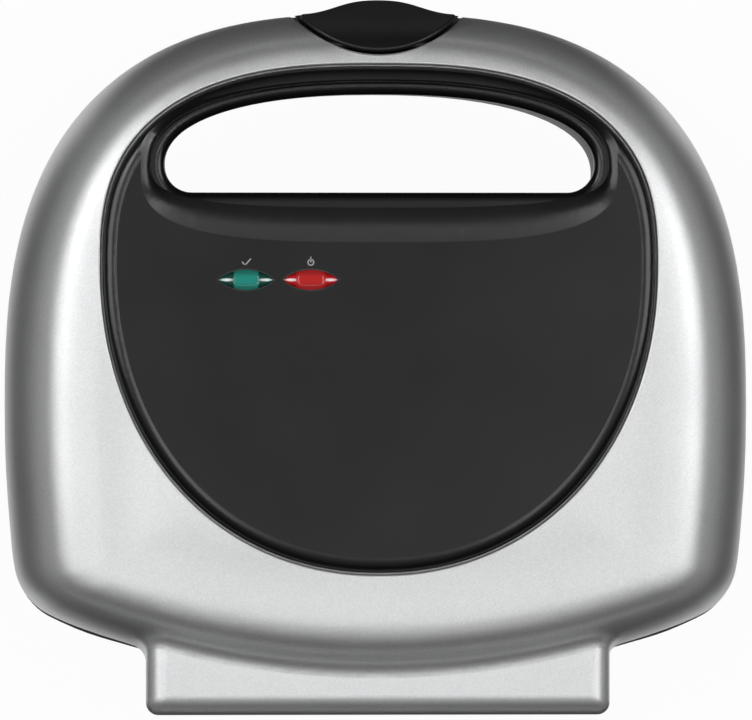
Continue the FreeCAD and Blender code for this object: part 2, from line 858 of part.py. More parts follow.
def pocket(triangle, skin, top, floor):
    """Tapered triangular pocket, or with a skin the metal round it."""
    upper_inset = pocket_ridge / 2 - skin
    upper = rounded_polygon(inset_triangle(triangle, upper_inset), pocket_corner_radius + skin, top)
    lower_inset = pocket_ridge / 2 + pocket_draft - skin
    lower = rounded_polygon(inset_triangle(triangle, lower_inset), pocket_floor_radius + skin, floor)
    return Part.makeLoft([upper, lower], True, True)


def lower_plate():
    """Cast cooking plate with four pockets, four screw bosses and a pad for the thermostat."""
    rim = rounded_slab(
        -plate_half_width,
        plate_half_width,
        plate_front_y,
        plate_rear_y,
        plate_corner_radius,
        plate_rim_z,
        plate_top_z,
    )
    solids = [pocket(triangle, plate_skin, plate_rim_z, plate_back_z) for triangle in pocket_triangles()]
    solids += [upright(x, y, plate_boss_radius, boss_seat_z, plate_rim_z) for x, y in boss_places]
    length = plate_pad_half_length
    width = plate_pad_half_width
    solids.append(
        box(-length, length, plate_middle_y - width, plate_middle_y + width, plate_back_z, plate_rim_z)
    )
    cuts = [pocket(triangle, 0.0, plate_top_z, pocket_floor_z) for triangle in pocket_triangles()]
    hole_top = boss_seat_z + screw_bite + screw_thread_gap
    cuts += [upright(x, y, screw_radius + screw_thread_gap, boss_seat_z, hole_top) for x, y in boss_places]
    for side in (-1, 1):
        x = side * thermostat_screw_spacing / 2
        top = plate_back_z + thermostat_screw_length
        cuts.append(upright(x, plate_middle_y, small_screw_radius + screw_thread_gap, plate_back_z, top))

    def pocket_edge(edge):
        bounds = edge.BoundBox
        within = max(-bounds.XMin, bounds.XMax) < plate_half_width - tolerance
        between = bounds.YMin > plate_front_y + tolerance and bounds.YMax < plate_rear_y - tolerance
        return within and between and bounds.ZMin > plate_top_z - tolerance

    return fillet_where(rim.fuse(solids).cut(cuts), pocket_edge_radius, pocket_edge)


def rounded_path(corners, radius, z):
    """Open wire through corners, each inner one rounded by a tangent arc."""
    points = [Vector(x, y, z) for x, y in corners]
    edges = []
    last = points[0]
    for k in range(1, len(points) - 1):
        back = (points[k - 1] - points[k]).normalize()
        on = (points[k + 1] - points[k]).normalize()
        half = back.getAngle(on) / 2
        start = points[k] + back * (radius / math.tan(half))
        end = points[k] + on * (radius / math.tan(half))
        middle = points[k] + (back + on).normalize() * (radius / math.sin(half) - radius)
        edges.append(Part.LineSegment(last, start).toShape())
        edges.append(Part.Arc(start, middle, end).toShape())
        last = end
    edges.append(Part.LineSegment(last, points[-1]).toShape())
    return Part.Wire(edges)


def lower_element():
    """Tubular heating element in a loop under the plate, with a terminal at each end."""
    x = plate_half_width - element_inset
    front = plate_front_y + element_inset
    rear = plate_rear_y - element_inset
    corners = [(element_gate, rear), (x, rear), (x, front), (-x, front), (-x, rear), (-element_gate, rear)]
    path = rounded_path(corners, element_bend, element_z)
    start = Vector(element_gate, rear, element_z)
    circle = Part.Wire([Part.Circle(start, Vector(1, 0, 0), element_radius).toShape()])
    tube = path.makePipeShell([circle], True, False)
    ends = []
    for side in (-1, 1):
        x0, x1 = span(side, element_gate - terminal_length, element_gate)
        ends.append(crosswise(rear, element_z, terminal_radius, x0, x1))
    return tube.fuse(ends)


def lower_reflector():
    """Thin bright pan between the element and the base."""
    x = plate_half_width - reflector_inset
    front = plate_front_y + reflector_inset
    rear = plate_rear_y - reflector_inset
    t = reflector_thickness
    radius = reflector_corner_radius
    tray = rounded_slab(-x, x, front, rear, radius, reflector_z, reflector_z + reflector_lip)
    inside = rounded_slab(
        -x + t, x - t, front + t, rear - t, radius - t, reflector_z + t, reflector_z + reflector_lip + t
    )
    holes = [upright(hx, hy, post_neck_radius + reflector_gap, 0, reach) for hx, hy in boss_places]
    return tray.cut([inside] + holes)


def thermostat():
    """Bimetal disc thermostat, clamped to the plate by its ears."""
    half = thermostat_ear_length / 2
    deep = thermostat_ear_width / 2
    low = plate_back_z - thermostat_ear_thickness
    ears = box(-half, half, plate_middle_y - deep, plate_middle_y + deep, low, plate_back_z)
    body = upright(0, plate_middle_y, thermostat_radius, low - thermostat_height, low)
    holes = []
    for side in (-1, 1):
        x = side * thermostat_screw_spacing / 2
        holes.append(upright(x, plate_middle_y, small_screw_radius + screw_hole_gap, 0, reach))
    return ears.fuse(body).cut(holes)


def pan_screw(x, y, seat, tip, radius, head_radius, head_height):
    """Screw with a pan head under its seat, pointing up or down to its tip."""
    away = -1 if tip > seat else 1
    low, high = sorted((seat, seat + away * head_height))
    head = upright(x, y, head_radius, low, high)
    far = [edge for edge in head.Edges if edge.Closed and abs(edge.CenterOfMass.z - seat) > head_height / 2]
    head = head.makeFillet(head_height / 2, far)
    low, high = sorted((seat, tip))
    return head.fuse(upright(x, y, radius, low, high))


def small_screws(places, seat, tip):
    """Group of small screws."""
    size = (small_screw_radius, small_screw_head_radius, small_screw_head_height)
    return Part.makeCompound([pan_screw(x, y, seat, tip, *size) for x, y in places])


def thermostat_screws():
    x = thermostat_screw_spacing / 2
    seat = plate_back_z - thermostat_ear_thickness
    tip = plate_back_z + thermostat_screw_length - screw_thread_gap
    return small_screws([(-x, plate_middle_y), (x, plate_middle_y)], seat, tip)


def plate_screws(seat, tip):
    """Four screws that hold a cooking plate."""
    size = (screw_radius, screw_head_radius, screw_head_height)
    return Part.makeCompound([pan_screw(x, y, seat, tip, *size) for x, y in boss_places])


def thermal_fuse():
    """One-shot fuse with its leads, lying on the pad of the upper plate."""
    z = mirror_z(plate_back_z) + fuse_radius + fuse_clip_gap
    half = fuse_length / 2
    body = crosswise(plate_middle_y, z, fuse_radius, -half, half)
    leads = []
    for side in (-1, 1):
        x0, x1 = span(side, half, half + fuse_lead_length)
        leads.append(crosswise(plate_middle_y, z, fuse_lead_radius, x0, x1))
    return body.fuse(leads)


def fuse_clip():
    """Bent strap that holds the fuse against the plate."""
    pad = mirror_z(plate_back_z)
    z = pad + fuse_radius + fuse_clip_gap
    inner = fuse_radius + fuse_clip_gap
    outer = inner + fuse_clip_thickness
    half = fuse_clip_width / 2
    foot = outer + fuse_clip_foot
    bow = crosswise(plate_middle_y, z, outer, -half, half)
    bow = bow.fuse(box(-half, half, plate_middle_y - outer, plate_middle_y + outer, pad, z))
    bow = bow.common(box(-half, half, -reach, reach, pad, reach))
    feet = box(-half, half, plate_middle_y - foot, plate_middle_y + foot, pad, pad + fuse_clip_thickness)
    cuts = [crosswise(plate_middle_y, z, inner, -reach, reach)]
    cuts.append(box(-half, half, plate_middle_y - inner, plate_middle_y + inner, 0, z))
    for side in (-1, 1):
        y = plate_middle_y + side * (outer + fuse_clip_foot / 2)
        cuts.append(upright(0, y, small_screw_radius + screw_hole_gap, 0, reach))
    return bow.fuse(feet).cut(cuts)


def fuse_clip_places():
    """Where the two screws of the fuse clip go."""
    offset = fuse_radius + fuse_clip_gap + fuse_clip_thickness + fuse_clip_foot / 2
    return [(0.0, plate_middle_y - offset), (0.0, plate_middle_y + offset)]


def fuse_clip_screws():
    pad = mirror_z(plate_back_z)
    return small_screws(fuse_clip_places(), pad + fuse_clip_thickness, pad - fuse_clip_screw_length)


def upper_plate():
    """Mirror image of the lower plate, with holes for the fuse clip."""
    pad = mirror_z(plate_back_z)
    low = pad - fuse_clip_screw_length - screw_thread_gap
    holes = [upright(x, y, small_screw_radius + screw_thread_gap, low, pad) for x, y in fuse_clip_places()]
    return mirrored(lower_plate()).cut(holes)


def latch_leaf(low, high):
    """Upright solid with the outline of the latch: an arc behind, an ogee in front."""
    end_y = body_front_y + latch_end_depth
    half = math.sqrt(latch_radius ** 2 - (end_y - latch_centre_y) ** 2)
    tip_y = body_front_y - latch_beak_reach
    sides = [(-across, ahead) for across, ahead in reversed(latch_beak_ogee[1:])] + list(latch_beak_ogee)
    curve = Part.BSplineCurve()
    curve.interpolate(Points=[Vector(half * x, tip_y + latch_beak_length * (1 - y), low) for x, y in sides])
    left = Vector(-half, end_y, low)
    right = Vector(half, end_y, low)
    edges = [
        curve.toShape(),
        Part.LineSegment(curve.EndPoint, right).toShape(),
        Part.Arc(right, Vector(0, latch_rear_y, low), left).toShape(),
        Part.LineSegment(left, curve.StartPoint).toShape(),
    ]
    return Part.Face(Part.Wire(edges)).extrude(Vector(0, 0, high - low))


def under_latch_slope():
    """All that lies under the sloping top of the latch."""
    top = shoulder_z
    length = latch_rear_y - body_front_y + latch_beak_reach
    drop = top - latch_beak_z
    curve = Part.BSplineCurve()
    side = -latch_radius
    curve.interpolate(
        Points=[Vector(side, latch_rear_y - length * along, top - drop * down) for along, down in latch_slope]
    )
    first, last = curve.StartPoint, curve.EndPoint
    rear_foot = Vector(side, first.y, 0)
    front_foot = Vector(side, last.y, 0)
    edges = [
        curve.toShape(),
        Part.LineSegment(last, front_foot).toShape(),
        Part.LineSegment(front_foot, rear_foot).toShape(),
        Part.LineSegment(rear_foot, first).toShape(),
    ]
    return Part.Face(Part.Wire(edges)).extrude(Vector(-2 * side, 0, 0))


def latch_beak():
    """Leaf-shaped top of the latch, rounded along its upper edge."""
    leaf = latch_leaf(latch_beak_under_z, panel_top_z)
    leaf = fillet_where(leaf, latch_corner_radius, lambda edge: edge.BoundBox.ZLength > tolerance)
    beak = leaf.common(under_latch_slope())

    def upper_edge(edge):
        kinds = [face.Surface.TypeId for face in beak.ancestorsOfType(edge, Part.Face)]
        above = edge.BoundBox.ZMin > latch_beak_under_z + tolerance
        return above and "Part::GeomSurfaceOfExtrusion" in kinds

    return fillet_where(beak, latch_edge_radius, upper_edge)


def latch_clip():
    """Black latch: a leaf-shaped beak to lift, and below it a blade with a hook."""
    disc = upright(0, latch_centre_y, latch_radius, 0, latch_beak_under_z + latch_skin)
    front_y = body_front_y - latch_proud
    half = latch_blade_half_width
    wide = latch_radius
    taper = [
        Vector(-wide, 0, latch_beak_z),
        Vector(wide, 0, latch_beak_z),
        Vector(wide, 0, latch_beak_under_z),
        Vector(half, 0, lid_bottom_z + latch_skin),
        Vector(half, 0, 0),
        Vector(-half, 0, 0),
        Vector(-half, 0, lid_bottom_z + latch_skin),
        Vector(-wide, 0, latch_beak_under_z),
    ]
    outline = Part.Face(Part.makePolygon(taper + taper[:1])).extrude(Vector(0, -reach, 0))
    skirt = lid_skin(-latch_proud).common(disc).common(outline)
    hook_top = catch_z - hook_top_gap
    hook_low = hook_top - hook_height
    blade = box(-half, half, front_y, front_y + latch_skin, hook_low, lid_bottom_z + latch_skin)
    hook = box(-half, half, front_y, front_y + hook_depth, hook_low, hook_top)
    beak = latch_beak()
    barrel = crosswise(latch_pin_y, latch_pin_z(), latch_barrel_radius, -reach, reach).common(beak)
    clip = beak.fuse(skirt).cut(lid_skin(latch_skin)).fuse([blade, hook, barrel])
    bore = crosswise(latch_pin_y, latch_pin_z(), latch_pin_radius + latch_pin_fit, -reach, reach)
    return clip.cut(bore)


def latch_pin():
    half = latch_pin_half_length()
    return crosswise(latch_pin_y, latch_pin_z(), latch_pin_radius, -half, half)


def catch_block(outset):
    """Solid block behind the catch, at the front of the base."""
    half = latch_blade_half_width + catch_side_gap + wall + outset
    back = body_front_y - latch_proud + hook_depth + catch_back_gap + wall + outset
    low = catch_z - hook_top_gap - hook_height - catch_back_gap - wall
    return box(-half, half, -reach, back, low, base_top_z + wall)


def catch_cuts():
    """Room for the latch blade in the rim, and for the hook under it."""
    half = latch_blade_half_width + catch_side_gap
    blade_back = body_front_y - latch_proud + latch_skin + catch_back_gap
    hook_back = body_front_y - latch_proud + hook_depth + catch_back_gap
    low = catch_z - hook_top_gap - hook_height - catch_back_gap
    rim = box(-half, half, -reach, blade_back, catch_z - wall, reach)
    under = box(-half, half, -reach, hook_back, low, catch_z)
    return [rim, under]


def gland_place(radius, y0, y1):
    """Cylinder along Y at the cord gland."""
    return Part.makeCylinder(radius, y1 - y0, Vector(gland_x, y0, gland_z), Vector(0, 1, 0))


def base_hollow():
    """Space inside the base, less the handle tube, the trough wall, posts and bosses."""
    keep = [grip_prism(wall, -reach, base_frame_z), trough(wall), catch_block(0.0)]
    for x, y in boss_places:
        keep.append(upright(x, y, post_radius, 0, reflector_z))
        keep.append(upright(x, y, post_neck_radius, 0, boss_seat_z))
    for x, y in frame_post_places:
        keep.append(upright(x, y, frame_post_radius, 0, base_frame_z))
    keep.append(gland_place(gland_boss_radius, gland_seat_y - gland_neck_length, reach))
    return base_skin(wall).cut(keep)


def knuckles():
    """Two hinge knuckles on short arms from the trough wall."""
    shapes = []
    for side in (-1, 1):
        x0, x1 = span(side, knuckle_inner_x, knuckle_inner_x + knuckle_width)
        half = knuckle_arm_height / 2
        root = hinge_y - trough_radius - wall / 2
        shapes.append(crosswise(hinge_y, hinge_z, knuckle_radius, x0, x1))
        shapes.append(box(x0, x1, root, hinge_y, hinge_z - half, hinge_z + half))
    return shapes


def vents():
    """Row of slots in the floor."""
    slots = []
    for row in range(vent_rows):
        y = plate_middle_y + vent_pitch * (row - (vent_rows - 1) / 2)
        half = vent_length / 2
        deep = vent_width / 2
        end_radius = deep - vent_end_flat / 2
        slots.append(rounded_slab(-half, half, y - deep, y + deep, end_radius, 0, floor_z + wall))
    return slots


def base_housing():
    """Black tub of the base with its handle opening, hinge trough, catch and posts."""
    cuts = [base_hollow(), grip_prism(0.0, 0, reach), trough(0.0)]
    cuts += catch_cuts()
    cuts += vents()
    seat = base_bottom_z + screw_recess_depth
    for x, y in boss_places:
        cuts.append(upright(x, y, screw_head_radius + screw_hole_gap, 0, seat))
        cuts.append(upright(x, y, screw_radius + screw_hole_gap, 0, reach))
    for x, y in foot_places.values():
        cuts.append(upright(x, y, foot_stem_radius + foot_stem_fit, 0, floor_z + wall))
    cuts.append(gland_place(gland_neck_radius + gland_fit, gland_seat_y - gland_neck_length, reach))
    cuts.append(gland_place(gland_flange_radius + gland_fit, gland_seat_y, reach))
    return base_skin(0.0).cut(cuts).fuse(knuckles()).cut(hinge_bore(hinge_pin_fit))


def cord_gland():
    """Flanged bush in the back wall where the supply cord enters."""
    neck = gland_place(gland_neck_radius, gland_seat_y - gland_neck_length, gland_seat_y)
    flange = gland_place(gland_flange_radius, gland_seat_y, gland_seat_y + gland_flange_thickness)
    return neck.fuse(flange).cut(gland_place(gland_bore_radius, 0, reach))


def terminal_block():
    """Ceramic block on the floor of the base, with a screw well for each way."""
    half = block_length / 2
    deep = block_width / 2
    top = floor_z + block_height
    block = box(block_x - half, block_x + half, block_y - deep, block_y + deep, floor_z, top)
    wells = []
    for way in range(block_ways):
        x = block_x + block_length / block_ways * (way - (block_ways - 1) / 2)
        wells.append(upright(x, block_y, block_screw_radius, top - block_screw_depth, top))
    return block.cut(wells)


def foot(x, y):
    """Rubber foot with a stem pushed into the floor of the base."""
    pad = upright(x, y, foot_radius, 0, foot_height)
    pad = pad.makeFillet(foot_edge_radius, [edge for edge in pad.Edges if edge.BoundBox.ZMax < tolerance])
    return pad.fuse(upright(x, y, foot_stem_radius, foot_height, foot_height + foot_stem_length))


def hinge_pin(side):
    inner, outer = ear_starts()
    x0, x1 = span(side, inner, outer + ear_thickness)
    return crosswise(hinge_y, hinge_z, hinge_pin_radius, x0, x1)


def pieces():
    """Every piece by the name of its node."""
    shapes = {
        "base_housing": base_housing(),
        "base_frame": base_frame(),
        "lower_plate": lower_plate(),
        "lower_element": lower_element(),
        "lower_reflector": lower_reflector(),
        "thermostat": thermostat(),
        "thermostat_screws": thermostat_screws(),
        "base_plate_screws": plate_screws(base_bottom_z + screw_recess_depth, boss_seat_z + screw_bite),
        "terminal_block": terminal_block(),
        "cord_gland": cord_gland(),
        "hinge_pin_left": hinge_pin(1),
        "hinge_pin_right": hinge_pin(-1),
        "lid_housing": lid_housing(),
        "lid_frame": lid_frame(),
        "lid_panel": lid_panel(),
        "upper_plate": upper_plate(),
        "upper_element": mirrored(lower_element()),
        "upper_reflector": mirrored(lower_reflector()),
        "thermal_fuse": thermal_fuse(),
        "fuse_clip": fuse_clip(),
        "fuse_clip_screws": fuse_clip_screws(),
        "lid_plate_screws": plate_screws(deck_z, mirror_z(boss_seat_z + screw_bite)),
        "lamp_carrier": lamp_carrier(),
        "ready_lamp": lamp(ready_lens_x),
        "power_lamp": lamp(power_lens_x),
        "latch_pin": latch_pin(),
        "latch_clip": latch_clip(),
    }
    for node, (x, y) in foot_places.items():
        shapes[node] = foot(x, y)
    for node, x in lens_points().items():
        shapes[node] = lens(x)
    return shapes


os.makedirs("parts", exist_ok=True)
for node, shape in pieces().items():
    shape.exportStep("parts/" + node + ".step")
    print(node, len(shape.Solids), shape.isValid(), round(shape.Volume / 1000, 2), "cm3")
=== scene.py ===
import json
import math

import bmesh
import bpy
from mathutils import Matrix, Vector


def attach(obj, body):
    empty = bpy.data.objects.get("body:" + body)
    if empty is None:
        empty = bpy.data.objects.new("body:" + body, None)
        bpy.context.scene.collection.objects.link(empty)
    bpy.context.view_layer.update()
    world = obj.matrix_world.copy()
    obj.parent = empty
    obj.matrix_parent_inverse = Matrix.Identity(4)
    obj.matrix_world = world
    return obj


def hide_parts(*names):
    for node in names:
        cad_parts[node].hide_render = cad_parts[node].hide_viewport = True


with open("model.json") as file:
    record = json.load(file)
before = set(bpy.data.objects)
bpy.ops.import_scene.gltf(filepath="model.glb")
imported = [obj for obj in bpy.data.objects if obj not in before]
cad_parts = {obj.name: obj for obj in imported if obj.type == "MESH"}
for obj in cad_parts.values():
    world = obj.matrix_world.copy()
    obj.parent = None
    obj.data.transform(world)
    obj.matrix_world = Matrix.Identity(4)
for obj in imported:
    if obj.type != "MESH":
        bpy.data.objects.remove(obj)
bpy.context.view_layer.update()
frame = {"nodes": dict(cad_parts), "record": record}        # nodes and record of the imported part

nodes = frame["nodes"]
mm = 0.001
scene = bpy.context.scene
print("frame loaded:", len(nodes), "nodes")


def newGroup(name, inputs, outputs):
    group = bpy.data.node_groups.new(name, "ShaderNodeTree")
    for label, value in inputs:
        socket = group.interface.new_socket(label, in_out="INPUT", socket_type="NodeSocketFloat")
        socket.default_value = value
    for label in outputs:
        group.interface.new_socket(label, in_out="OUTPUT", socket_type="NodeSocketFloat")
    enter = group.nodes.new("NodeGroupInput")
    leave = group.nodes.new("NodeGroupOutput")
    return group, enter, leave


def setInputs(node, values):                             # a _ stands for the space in a socket's name
    for label, value in values.items():
        node.inputs[label.replace("_", " ")].default_value = value


def addNode(tree, kind, settings=None, **values):
    node = tree.nodes.new(kind)
    for label, value in (settings or {}).items():
        setattr(node, label, value)
    setInputs(node, values)
    return node


def link(tree, source, outLabel, target, inLabel):
    tree.links.new(source.outputs[outLabel], target.inputs[inLabel])


def mathNode(tree, operation, first, second=0.0):
    node = addNode(tree, "ShaderNodeMath", {"operation": operation})
    for k, value in enumerate((first, second)):
        if isinstance(value, (int, float)):
            node.inputs[k].default_value = value
        else:
            tree.links.new(value, node.inputs[k])
    return node.outputs[0]


def mouldGrainGroup():                                   # fine grain and broad patches of a worked surface
    group, enter, leave = newGroup(
        "mouldGrain", [("Grain Size", 0.0006), ("Patch Size", 0.03)], ["Height", "Patch"]
    )
    coords = addNode(group, "ShaderNodeTexCoord")
    grain = addNode(group, "ShaderNodeTexNoise", Detail=3.0, Roughness=0.6)
    patch = addNode(group, "ShaderNodeTexNoise", Detail=2.0, Roughness=0.5)
    for noise, label in ((grain, "Grain Size"), (patch, "Patch Size")):
        link(group, coords, "Object", noise, "Vector")
        scale = mathNode(group, "DIVIDE", 1.0, enter.outputs[label])
        group.links.new(scale, noise.inputs["Scale"])
    link(group, grain, "Fac", leave, "Height")
    link(group, patch, "Fac", leave, "Patch")
    return group


def flakeGroup():                                        # metal flakes and soft clouds of silver paint
    group, enter, leave = newGroup("paintFlake", [("Flake Size", 0.0004)], ["Flake", "Cloud"])
    coords = addNode(group, "ShaderNodeTexCoord")
    flake = addNode(group, "ShaderNodeTexVoronoi", Randomness=1.0)
    cloud = addNode(group, "ShaderNodeTexNoise", Scale=38.0, Detail=2.0)
    scale = mathNode(group, "DIVIDE", 1.0, enter.outputs["Flake Size"])
    group.links.new(scale, flake.inputs["Scale"])
    link(group, coords, "Object", flake, "Vector")
    link(group, coords, "Object", cloud, "Vector")
    grey = addNode(group, "ShaderNodeSeparateColor")
    link(group, flake, "Color", grey, "Color")
    link(group, grey, "Red", leave, "Flake")
    link(group, cloud, "Fac", leave, "Cloud")
    return group


mouldGrain = mouldGrainGroup()
paintFlake = flakeGroup()
noiseSpan = (0.25, 0.75)                                 # nearly all values of a noise lie between these


def newMaterial(name, **values):
    material = bpy.data.materials.new(name)
    material.use_nodes = True
    shader = material.node_tree.nodes["Principled BSDF"]
    setInputs(shader, values)
    return material, material.node_tree, shader


def placeGroup(tree, group, **values):
    return addNode(tree, "ShaderNodeGroup", {"node_tree": group}, **values)


def ramp(tree, source, start, end, low=0.0, high=1.0):
    node = addNode(tree, "ShaderNodeMapRange", From_Min=start, From_Max=end, To_Min=low, To_Max=high)
    tree.links.new(source, node.inputs["Value"])
    return node.outputs["Result"]


def mixColour(tree, factor, first, second):
    mix = addNode(tree, "ShaderNodeMix", {"data_type": "RGBA"})
    for label, value in (("A", first), ("B", second)):
        if isinstance(value, tuple):
            mix.inputs[label].default_value = (*value, 1)
        else:
            tree.links.new(value, mix.inputs[label])
    tree.links.new(factor, mix.inputs["Factor"])
    return mix.outputs["Result"]


def dressShader(tree, shader, look, shade, cloud, height):
    colour = mixColour(tree, shade, look["dark"], look["light"])
    tree.links.new(colour, shader.inputs["Base Color"])
    rough = ramp(tree, cloud, *noiseSpan, *look["rough"])
    tree.links.new(rough, shader.inputs["Roughness"])
    bump = addNode(tree, "ShaderNodeBump", Strength=look["bump"], Distance=look["depth"])
    tree.links.new(height, bump.inputs["Height"])
    link(tree, bump, "Normal", shader, "Normal")


def paintFinish(name):
    look = {
        "dark": (0.68, 0.685, 0.69), "light": (0.78, 0.785, 0.79), "rough": (0.44, 0.48), "flake": 0.0003,
        "metal": 0.88, "coat": 0.10, "coatRough": 0.30, "depth": 0.00004, "bump": 0.04,
    }
    material, tree, shader = newMaterial(
        name, Metallic=look["metal"], Coat_Weight=look["coat"], Coat_Roughness=look["coatRough"]
    )
    flake = placeGroup(tree, paintFlake, Flake_Size=look["flake"])
    speck, cloud = flake.outputs["Flake"], flake.outputs["Cloud"]
    dressShader(tree, shader, look, speck, cloud, speck)
    return material


def grainFinish(name, look, **constants):
    material, tree, shader = newMaterial(name, **constants)
    grain = placeGroup(tree, mouldGrain, Grain_Size=look["grain"])
    patch, height = grain.outputs["Patch"], grain.outputs["Height"]
    dressShader(tree, shader, look, patch, patch, height)
    return material


# paints light and shade into the lens colour: a paler middle facet, darker edges and tips, pale highlight spots
def lensFinishWithPaintedLight(name, shades, centre):
    look = {                                             # lengths in millimetres from the middle of the lens
        "wingSpan": (0.4, 2.3), "middleSpan": (0.8, 2.3), "tipSpan": (7.4, 8.3), "facetSpan": (-0.3, 0.1),
        "highlightAt": 6.1, "highlightHalf": (2.2, 0.48), "highlightSoft": (0.35, 1.2),
        "rough": 0.12, "coat": 0.15, "coatRough": 0.05,
    }
    material, tree, shader = newMaterial(
        name, Roughness=look["rough"], Coat_Weight=look["coat"], Coat_Roughness=look["coatRough"]
    )
    coords = addNode(tree, "ShaderNodeTexCoord")
    split = addNode(tree, "ShaderNodeSeparateXYZ")
    link(tree, coords, "Object", split, "Vector")

    def distance(axis, middle):
        return mathNode(tree, "ABSOLUTE", mathNode(tree, "SUBTRACT", split.outputs[axis], middle * mm))

    def span(source, limits):
        return ramp(tree, source, limits[0] * mm, limits[1] * mm)

    def squareShare(source, whole):
        return mathNode(tree, "POWER", mathNode(tree, "DIVIDE", source, whole * mm), 2.0)

    along, across = distance("X", centre[0]), distance("Y", centre[1])
    # painted highlight: an oval spot round the crown of each wing
    reach = squareShare(mathNode(tree, "SUBTRACT", along, look["highlightAt"] * mm), look["highlightHalf"][0])
    rise = squareShare(across, look["highlightHalf"][1])
    offHighlight = ramp(tree, mathNode(tree, "ADD", reach, rise), *look["highlightSoft"])
    # painted shade: each wing darker towards its long edges and its tips
    wing = mixColour(tree, span(across, look["wingSpan"]), shades["wing"], shades["edge"])
    wing = mixColour(tree, span(along, look["tipSpan"]), wing, shades["dark"])
    wing = mixColour(tree, offHighlight, shades["paintedHighlight"], wing)           # painted highlight: a pale spot on the crown of each wing
    # painted light: a paler middle facet, with darker ribs at its sides painted as shade
    middle = mixColour(tree, span(across, look["middleSpan"]), shades["middle"], shades["rib"])
    outside = span(along, [shades["middleHalf"] + step for step in look["facetSpan"]])
    tree.links.new(mixColour(tree, outside, middle, wing), shader.inputs["Base Color"])
    return material


plastics = {                                             # grain and depth in metres
    "panelBlack": {
        "dark": (0.004, 0.004, 0.0045), "light": (0.006, 0.006, 0.0065), "rough": (0.22, 0.25),
        "grain": 0.0005, "depth": 0.00004, "bump": 0.06,
    },
    "latchBlack": {
        "dark": (0.005, 0.005, 0.005), "light": (0.007, 0.007, 0.007), "rough": (0.34, 0.40),
        "grain": 0.0005, "depth": 0.00005, "bump": 0.08,
    },
    "baseBlack": {
        "dark": (0.014, 0.014, 0.015), "light": (0.020, 0.020, 0.021), "rough": (0.50, 0.60),
        "grain": 0.0007, "depth": 0.0002, "bump": 0.25,
    },
    "nonStick": {
        "dark": (0.022, 0.022, 0.023), "light": (0.034, 0.034, 0.035), "rough": (0.38, 0.46),
        "grain": 0.0009, "depth": 0.0001, "bump": 0.15,
    },
    "footRubber": {
        "dark": (0.020, 0.020, 0.020), "light": (0.030, 0.030, 0.030), "rough": (0.75, 0.85),
        "grain": 0.0005, "depth": 0.0002, "bump": 0.3,
    },
    "paleCeramic": {
        "dark": (0.74, 0.71, 0.64), "light": (0.82, 0.79, 0.73), "rough": (0.45, 0.6),
        "grain": 0.0006, "depth": 0.0001, "bump": 0.2,
    },
    "palePrint": {
        "dark": (0.36, 0.36, 0.37), "light": (0.44, 0.44, 0.45), "rough": (0.5, 0.6),
        "grain": 0.0004, "depth": 0.00002, "bump": 0.1,
    },
    "rimGrey": {
        "dark": (0.10, 0.10, 0.105), "light": (0.14, 0.14, 0.145), "rough": (0.25, 0.35),
        "grain": 0.0004, "depth": 0.00002, "bump": 0.1,
    },
    "flagBlack": {
        "dark": (0.010, 0.010, 0.010), "light": (0.014, 0.014, 0.014), "rough": (0.9, 1.0),
        "grain": 0.001, "depth": 0.0001, "bump": 0.1,
    },
}
metals = {
    "plainSteel": {
        "dark": (0.52, 0.52, 0.53), "light": (0.62, 0.62, 0.63), "rough": (0.28, 0.40),
        "grain": 0.0008, "depth": 0.0001, "bump": 0.1,
    },
    "blackSteel": {
        "dark": (0.030, 0.030, 0.032), "light": (0.045, 0.045, 0.047), "rough": (0.40, 0.50),
        "grain": 0.0008, "depth": 0.0001, "bump": 0.1,
    },
    "heatedSteel": {
        "dark": (0.20, 0.18, 0.16), "light": (0.34, 0.31, 0.28), "rough": (0.35, 0.5),
        "grain": 0.0008, "depth": 0.0001, "bump": 0.15,
    },
    "rolledAluminium": {
        "dark": (0.74, 0.75, 0.76), "light": (0.84, 0.85, 0.86), "rough": (0.25, 0.35),
        "grain": 0.001, "depth": 0.0001, "bump": 0.1,
    },
}
glassLook = {
    "dark": (0.93, 0.83, 0.73), "light": (0.97, 0.87, 0.77), "rough": (0.04, 0.08),
    "grain": 0.0006, "depth": 0.00002, "bump": 0.05,
}
lensPlace = {"ready": (41.7, -23.9), "power": (21.5, -23.9)}            # middles of the lenses, in mm
# lens colours with light and shade painted in: paler middle, darker edges and tips, pale highlight spots
greenShades = {
    "middle": (0.008, 0.30, 0.24), "rib": (0.004, 0.16, 0.12), "wing": (0.002, 0.075, 0.055),
    "edge": (0.001, 0.020, 0.016), "dark": (0.002, 0.006, 0.006), "paintedHighlight": (0.80, 0.92, 0.90),
    "middleHalf": 3.9,
}
# the same painted light and shade, in red
redShades = {
    "middle": (0.60, 0.012, 0.012), "rib": (0.38, 0.006, 0.008), "wing": (0.62, 0.008, 0.012),
    "edge": (0.10, 0.002, 0.003), "dark": (0.05, 0.002, 0.002), "paintedHighlight": (0.95, 0.78, 0.80),
    "middleHalf": 4.7,
}

finishes = {"silverPaint": paintFinish("silverPaint")}
for name, look in plastics.items():
    finishes[name] = grainFinish(name, look)
for name, look in metals.items():
    finishes[name] = grainFinish(name, look, Metallic=1.0)
finishes["lampGlass"] = grainFinish("lampGlass", glassLook, Transmission_Weight=1.0)
finishes["greenLens"] = lensFinishWithPaintedLight("greenLens", greenShades, lensPlace["ready"])
finishes["redLens"] = lensFinishWithPaintedLight("redLens", redShades, lensPlace["power"])
print("finishes ready:", len(finishes))

